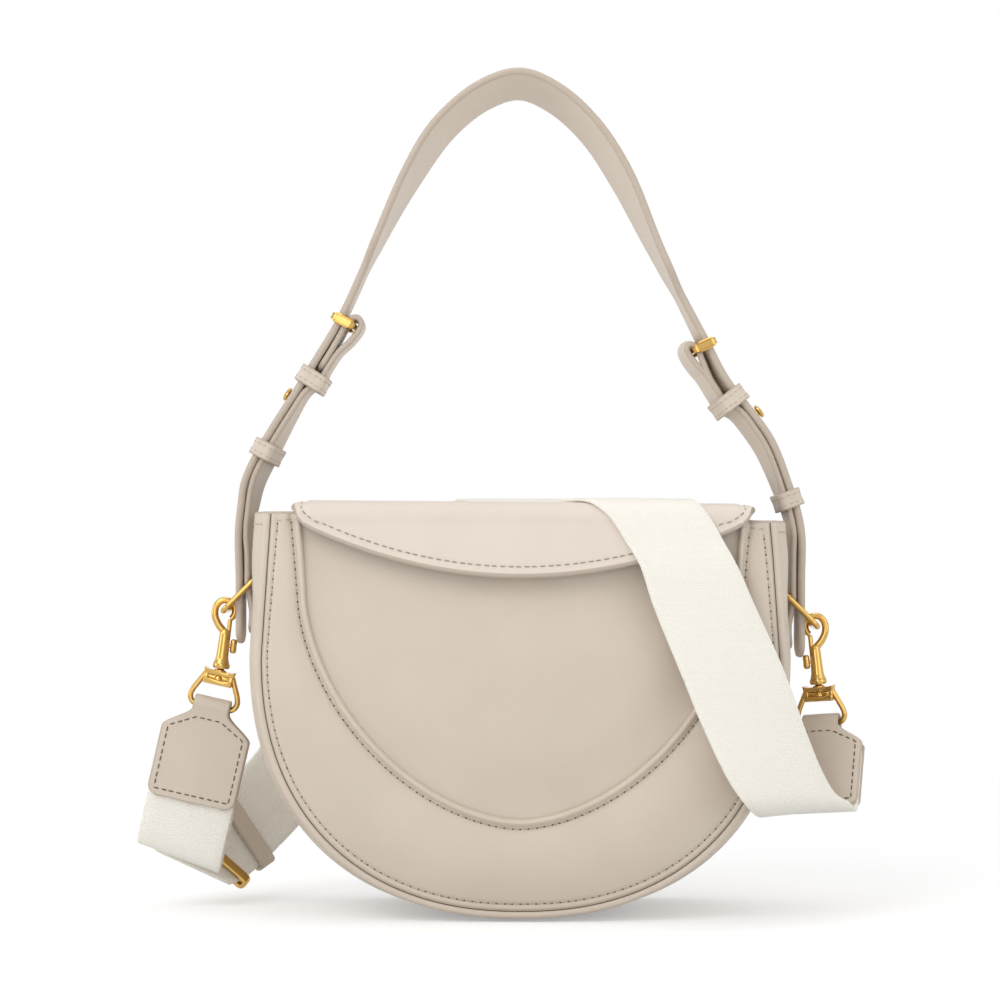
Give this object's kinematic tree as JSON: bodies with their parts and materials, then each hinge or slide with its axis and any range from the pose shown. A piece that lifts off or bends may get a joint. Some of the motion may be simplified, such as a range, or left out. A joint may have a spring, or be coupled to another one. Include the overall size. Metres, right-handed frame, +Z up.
{
  "type": "crescent shoulder bag",
  "caption": "Half-moon leather shoulder bag with a curved front flap, a buckled top handle and a wide webbing strap on swivel snap hooks.",
  "frame": {"origin": "middle of the flat foot under the bag", "axes": "+Z up, the front with the flap faces -Y, +X is to the right as seen from the front"},
  "size_m": [0.3135, 0.1021, 0.3571],
  "materials": {
    "leather": "smooth taupe leather, satin",
    "lining": "dark woven lining",
    "gold": "polished gold-tone",
    "steel": "spring steel",
    "webbing": "cream ribbed webbing"
  },
  "bodies": {
    "bag": {"gusset": "leather", "front_panel": "leather", "front_crescent": "leather", "back_panel": "leather", "front_piping": "leather", "back_piping": "leather", "lining": "lining", "front_snap": "gold", "side_tab_lower_left": "leather", "side_tab_lower_right": "leather", "handle_tail_left": "leather", "handle_tail_right": "leather", "webbing_back": "webbing", "webbing_front": "webbing"},
    "flap": {"flap": "leather", "flap_lining": "lining", "flap_snap": "gold", "webbing_over_flap": "webbing"},
    "handle": {"handle_strap": "leather", "side_tab_upper_left": "leather", "side_tab_upper_right": "leather", "buckle_left": "gold", "buckle_right": "gold", "upper_keeper_left": "leather", "upper_keeper_right": "leather", "stud_left": "gold", "stud_right": "gold"},
    "lower_keeper_left": {"lower_keeper_left": "leather"},
    "lower_keeper_right": {"lower_keeper_right": "leather"},
    "ring_left": {"strap_ring_left": "gold"},
    "ring_right": {"strap_ring_right": "gold"},
    "hook_left": {"hook_body_left": "gold", "bolt_spring_left": "steel"},
    "hook_right": {"hook_body_right": "gold", "bolt_spring_right": "steel"},
    "bolt_left": {"hook_bolt_left": "gold"},
    "bolt_right": {"hook_bolt_right": "gold"},
    "eye_left": {"swivel_eye_left": "gold"},
    "eye_right": {"swivel_eye_right": "gold"},
    "chape_left": {"chape_left": "leather", "webbing_short_left": "webbing", "webbing_keeper": "leather", "strap_slider": "gold"},
    "chape_right": {"chape_right": "leather"}
  },
  "joints": [
    {"name": "flap_hinge", "type": "hinge", "parent": "bag", "child": "flap", "pos_m": [0, 0.039, 0.174], "axis": [-1, 0, 0], "range_deg": [0, 62], "deforming": ["webbing_back", "webbing_front"]},
    {"name": "handle_swing", "type": "hinge", "parent": "bag", "child": "handle", "pos_m": [0, 0, 0.163], "axis": [-1, 0, 0], "range_deg": [0, 45]},
    {"name": "lower_keeper_slide_left", "type": "slide", "parent": "handle", "child": "lower_keeper_left", "axis": [0.4316, 0, 0.9021], "range_m": [-0.004, 0.005]},
    {"name": "lower_keeper_slide_right", "type": "slide", "parent": "handle", "child": "lower_keeper_right", "axis": [-0.3358, 0, 0.9419], "range_m": [0, 0.002]},
    {"name": "ring_swing_left", "type": "hinge", "parent": "bag", "child": "ring_left", "pos_m": [-0.11292, 0, 0.1426], "axis": [0, 1, 0], "range_deg": [0, 20], "deforming": ["webbing_back"]},
    {"name": "ring_swing_right", "type": "hinge", "parent": "bag", "child": "ring_right", "pos_m": [0.11336, 0, 0.1358], "axis": [0, -1, 0], "range_deg": [0, 20], "deforming": ["webbing_front"]},
    {"name": "hook_swing_left", "type": "hinge", "parent": "ring_left", "child": "hook_left", "pos_m": [-0.12692, 0, 0.1286], "axis": [0, 1, 0], "range_deg": [0, 18], "deforming": ["webbing_back"]},
    {"name": "hook_swing_right", "type": "hinge", "parent": "ring_right", "child": "hook_right", "pos_m": [0.12737, 0, 0.1218], "axis": [0, -1, 0], "range_deg": [0, 18], "deforming": ["webbing_front"]},
    {"name": "bolt_slide_left", "type": "slide", "parent": "hook_left", "child": "bolt_left", "axis": [-0.1219, 0, -0.9925], "range_m": [0, 0.0042], "stiffness_N_per_m": 120, "deforming": ["bolt_spring_left"]},
    {"name": "bolt_slide_right", "type": "slide", "parent": "hook_right", "child": "bolt_right", "axis": [0.1045, 0, -0.9945], "range_m": [0, 0.0042], "stiffness_N_per_m": 120, "deforming": ["bolt_spring_right"]},
    {"name": "swivel_left", "type": "hinge", "parent": "hook_left", "child": "eye_left", "pos_m": [-0.12877, 0, 0.10364], "axis": [0.1219, 0, 0.9925], "range_deg": [-12, 12], "deforming": ["webbing_back"]},
    {"name": "swivel_right", "type": "hinge", "parent": "hook_right", "child": "eye_right", "pos_m": [0.12879, 0, 0.09681], "axis": [-0.1045, 0, 0.9945], "range_deg": [-8, 12], "deforming": ["webbing_front"]},
    {"name": "chape_swing_left", "type": "hinge", "parent": "eye_left", "child": "chape_left", "pos_m": [-0.13252, 0, 0.08742], "axis": [0.9744, 0, -0.225], "range_deg": [-15, 0], "deforming": ["webbing_back"]},
    {"name": "chape_swing_right", "type": "hinge", "parent": "eye_right", "child": "chape_right", "pos_m": [0.13024, 0, 0.08022], "axis": [0.9237, -0.3746, 0.0808], "range_deg": [-2, 8], "deforming": ["webbing_front"]}
  ],
  "couplings": [
    {"joint": "handle_swing", "follows": "flap_hinge", "ratio": 0.72}
  ]
}
